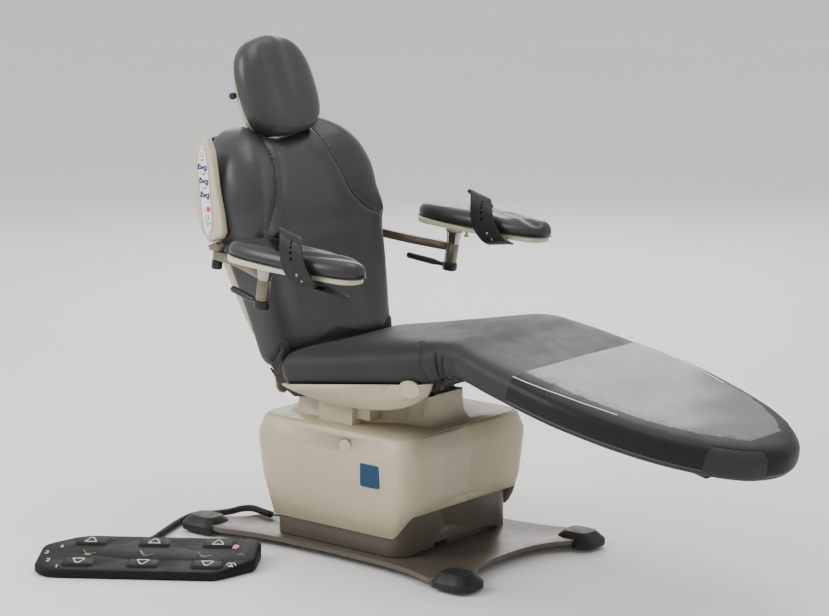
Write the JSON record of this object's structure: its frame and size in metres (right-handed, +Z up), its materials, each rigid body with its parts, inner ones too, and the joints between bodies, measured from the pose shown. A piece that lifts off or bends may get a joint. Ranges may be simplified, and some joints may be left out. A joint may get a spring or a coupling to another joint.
{
  "type": "ophthalmic examination chair",
  "caption": "Powered examination chair with a reclining back, headrest, sloped legrest, swing-away armrest boards with wrist straps, a lifting base on a floor plate and a corded foot control.",
  "frame": {"origin": "on the floor, below the centre of the base plate and of its four anchor bores", "axes": "+X forward from the back towards the toe end, +Y towards the sitter's left, +Z up"},
  "size_m": [1.7778, 1.2856, 1.2946],
  "materials": {
    "plate": "satin dark taupe powder coat",
    "rubber_black": "moulded",
    "zinc": "zinc plated",
    "cast_bronze": "speckled hammer paint",
    "shroud": "fine texture",
    "black_plastic": "fine texture",
    "cord_rubber": "smooth",
    "beige_cover": "fine texture",
    "polished": "polished",
    "bronze_paint": "satin bronze",
    "vinyl": "soft grained vinyl",
    "clear_vinyl": "clear film",
    "ply": "edge of a laminated board",
    "strap_rubber": "matte"
  },
  "bodies": {
    "base": {"base_plate": "plate", "foot_caps": "rubber_black", "levelling_feet": "zinc", "outer_column": "zinc", "base_cover": "shroud", "power_inlet": "black_plastic", "lift_drive": "zinc", "cord_glands": "black_plastic", "foot_cord_leads": "cord_rubber", "foot_cord_coil": "cord_rubber", "foot_control": "black_plastic"},
    "rocker": {"power_rocker": "black_plastic"},
    "mid_stage": {"mid_shroud": "shroud", "mid_column": "zinc"},
    "carriage": {"inner_column": "zinc", "side_covers": "beige_cover", "deck_cover": "beige_cover", "tilt_bracket": "zinc", "cover_caps": "beige_cover", "tilt_actuator": "zinc"},
    "tilt_rod": {"tilt_rod": "polished"},
    "seat": {"seat_frame": "zinc", "seat_side_covers": "beige_cover", "seat_cushion": "vinyl", "back_actuator": "zinc", "leg_actuator": "zinc", "hinge_pins": "polished"},
    "back_rod": {"back_rod": "polished"},
    "leg_rod": {"leg_rod": "polished"},
    "back": {"back_frame": "cast_bronze", "back_shell": "beige_cover", "back_cushion": "vinyl", "control_panel": "beige_cover"},
    "headrest_bar": {"headrest_bar": "zinc"},
    "headrest": {"headrest_shell": "beige_cover", "headrest_cushion": "vinyl"},
    "headrest_knob": {"headrest_knob": "black_plastic"},
    "legrest": {"legrest_frame": "zinc", "legrest_cushion": "vinyl", "foot_cover": "clear_vinyl"},
    "lift_up_pad": {"lift_up_pad": "black_plastic"},
    "lift_down_pad": {"lift_down_pad": "black_plastic"},
    "back_up_pad": {"back_up_pad": "black_plastic"},
    "back_down_pad": {"back_down_pad": "black_plastic"},
    "leg_up_pad": {"leg_up_pad": "black_plastic"},
    "leg_down_pad": {"leg_down_pad": "black_plastic"},
    "arm_bar_right": {"arm_bar_right": "bronze_paint"},
    "arm_knob_right": {"arm_knob_right": "black_plastic"},
    "arm_post_right": {"arm_post_right": "polished"},
    "arm_lever_right": {"arm_lever_right": "black_plastic"},
    "arm_board_right": {"arm_board_right": "ply", "arm_cushion_right": "vinyl", "arm_strap_right": "strap_rubber"},
    "arm_bar_left": {"arm_bar_left": "bronze_paint"},
    "arm_knob_left": {"arm_knob_left": "black_plastic"},
    "arm_post_left": {"arm_post_left": "polished"},
    "arm_lever_left": {"arm_lever_left": "black_plastic"},
    "arm_board_left": {"arm_board_left": "ply", "arm_cushion_left": "vinyl", "arm_strap_left": "strap_rubber"}
  },
  "joints": [
    {"name": "lift", "type": "slide", "parent": "base", "child": "carriage", "axis": [0, 0, 1], "range_m": [0, 0.36]},
    {"name": "mid_lift", "type": "slide", "parent": "base", "child": "mid_stage", "axis": [0, 0, 1], "range_m": [0, 0.18]},
    {"name": "power_rocker_turn", "type": "hinge", "parent": "base", "child": "rocker", "pos_m": [0.203, -0.05, 0.0515], "axis": [0, 1, 0], "range_deg": [-8, 0]},
    {"name": "lift_up_press", "type": "slide", "parent": "base", "child": "lift_up_pad", "axis": [0.055, -0.0785, 0.9954], "range_m": [-0.0018, 0], "stiffness_N_per_m": 1600, "springref_m": 0.0012},
    {"name": "lift_down_press", "type": "slide", "parent": "base", "child": "lift_down_pad", "axis": [0.055, -0.0785, 0.9954], "range_m": [-0.0018, 0], "stiffness_N_per_m": 1600, "springref_m": 0.0012},
    {"name": "back_up_press", "type": "slide", "parent": "base", "child": "back_up_pad", "axis": [0.055, -0.0785, 0.9954], "range_m": [-0.0018, 0], "stiffness_N_per_m": 1600, "springref_m": 0.0012},
    {"name": "back_down_press", "type": "slide", "parent": "base", "child": "back_down_pad", "axis": [0.055, -0.0785, 0.9954], "range_m": [-0.0018, 0], "stiffness_N_per_m": 1600, "springref_m": 0.0012},
    {"name": "leg_up_press", "type": "slide", "parent": "base", "child": "leg_up_pad", "axis": [0.055, -0.0785, 0.9954], "range_m": [-0.0018, 0], "stiffness_N_per_m": 1600, "springref_m": 0.0012},
    {"name": "leg_down_press", "type": "slide", "parent": "base", "child": "leg_down_pad", "axis": [0.055, -0.0785, 0.9954], "range_m": [-0.0018, 0], "stiffness_N_per_m": 1600, "springref_m": 0.0012},
    {"name": "seat_tilt", "type": "hinge", "parent": "carriage", "child": "seat", "pos_m": [0.27, 0, 0.484], "axis": [0, 1, 0], "range_deg": [-2, 8]},
    {"name": "tilt_rod_slide", "type": "slide", "parent": "carriage", "child": "tilt_rod", "axis": [0, 0, 1], "range_m": [-0.0115, 0.0455]},
    {"name": "back_recline", "type": "hinge", "parent": "seat", "child": "back", "pos_m": [-0.2, 0, 0.47], "axis": [0, 1, 0], "range_deg": [-69, 12]},
    {"name": "back_rod_slide", "type": "slide", "parent": "seat", "child": "back_rod", "axis": [0.9903, 0, 0.1392], "range_m": [-0.0125, 0.0695]},
    {"name": "leg_lift", "type": "hinge", "parent": "seat", "child": "legrest", "pos_m": [0.366, 0, 0.53], "axis": [0, 1, 0], "range_deg": [-16, 22]},
    {"name": "leg_rod_slide", "type": "slide", "parent": "seat", "child": "leg_rod", "axis": [0.9903, 0, 0.1392], "range_m": [-0.0215, 0.0158]},
    {"name": "headrest_height", "type": "slide", "parent": "back", "child": "headrest_bar", "axis": [-0.3535, 0, 0.9354], "range_m": [0, 0.1]},
    {"name": "headrest_tilt", "type": "hinge", "parent": "headrest_bar", "child": "headrest", "pos_m": [-0.43417, 0, 1.14365], "axis": [0, 1, 0], "range_deg": [-30, 4]},
    {"name": "headrest_knob_turn", "type": "hinge", "parent": "headrest_bar", "child": "headrest_knob", "pos_m": [-0.43417, -0.13, 1.14365], "axis": [0, 1, 0], "range_deg": [-90, 90]},
    {"name": "arm_swing_right", "type": "hinge", "parent": "back", "child": "arm_bar_right", "pos_m": [-0.329, -0.3, 0.76], "axis": [0.1564, 0, 0.9877], "range_deg": [-90, 5]},
    {"name": "arm_knob_turn_right", "type": "hinge", "parent": "arm_bar_right", "child": "arm_knob_right", "pos_m": [-0.33213, -0.3, 0.74025], "axis": [0.1564, 0, 0.9877], "range_deg": [-90, 90]},
    {"name": "arm_height_right", "type": "slide", "parent": "arm_bar_right", "child": "arm_post_right", "axis": [0.1564, 0, 0.9877], "range_m": [0, 0.04]},
    {"name": "arm_board_swivel_right", "type": "hinge", "parent": "arm_post_right", "child": "arm_board_right", "pos_m": [-0.09432, -0.375, 0.77143], "axis": [0.1564, 0, 0.9877], "range_deg": [-60, 60]},
    {"name": "arm_lever_turn_right", "type": "hinge", "parent": "arm_bar_right", "child": "arm_lever_right", "pos_m": [-0.10965, -0.375, 0.67464], "axis": [0.1564, 0, 0.9877], "range_deg": [-40, 40]},
    {"name": "arm_swing_left", "type": "hinge", "parent": "back", "child": "arm_bar_left", "pos_m": [-0.329, 0.3, 0.748], "axis": [0.1564, 0, 0.9877], "range_deg": [-5, 90]},
    {"name": "arm_knob_turn_left", "type": "hinge", "parent": "arm_bar_left", "child": "arm_knob_left", "pos_m": [-0.33213, 0.3, 0.72825], "axis": [0.1564, 0, 0.9877], "range_deg": [-90, 90]},
    {"name": "arm_height_left", "type": "slide", "parent": "arm_bar_left", "child": "arm_post_left", "axis": [0.1564, 0, 0.9877], "range_m": [0, 0.04]},
    {"name": "arm_board_swivel_left", "type": "hinge", "parent": "arm_post_left", "child": "arm_board_left", "pos_m": [-0.09432, 0.375, 0.75943], "axis": [0.1564, 0, 0.9877], "range_deg": [-60, 60]},
    {"name": "arm_lever_turn_left", "type": "hinge", "parent": "arm_bar_left", "child": "arm_lever_left", "pos_m": [-0.10965, 0.375, 0.66264], "axis": [0.1564, 0, 0.9877], "range_deg": [-40, 40]}
  ],
  "couplings": [
    {"joint": "mid_lift", "follows": "lift", "ratio": 0.5},
    {"joint": "tilt_rod_slide", "follows": "seat_tilt", "m_per_rad": 0.322},
    {"joint": "back_rod_slide", "follows": "back_recline", "m_per_rad": -0.0573},
    {"joint": "leg_rod_slide", "follows": "leg_lift", "m_per_rad": -0.0549}
  ]
}
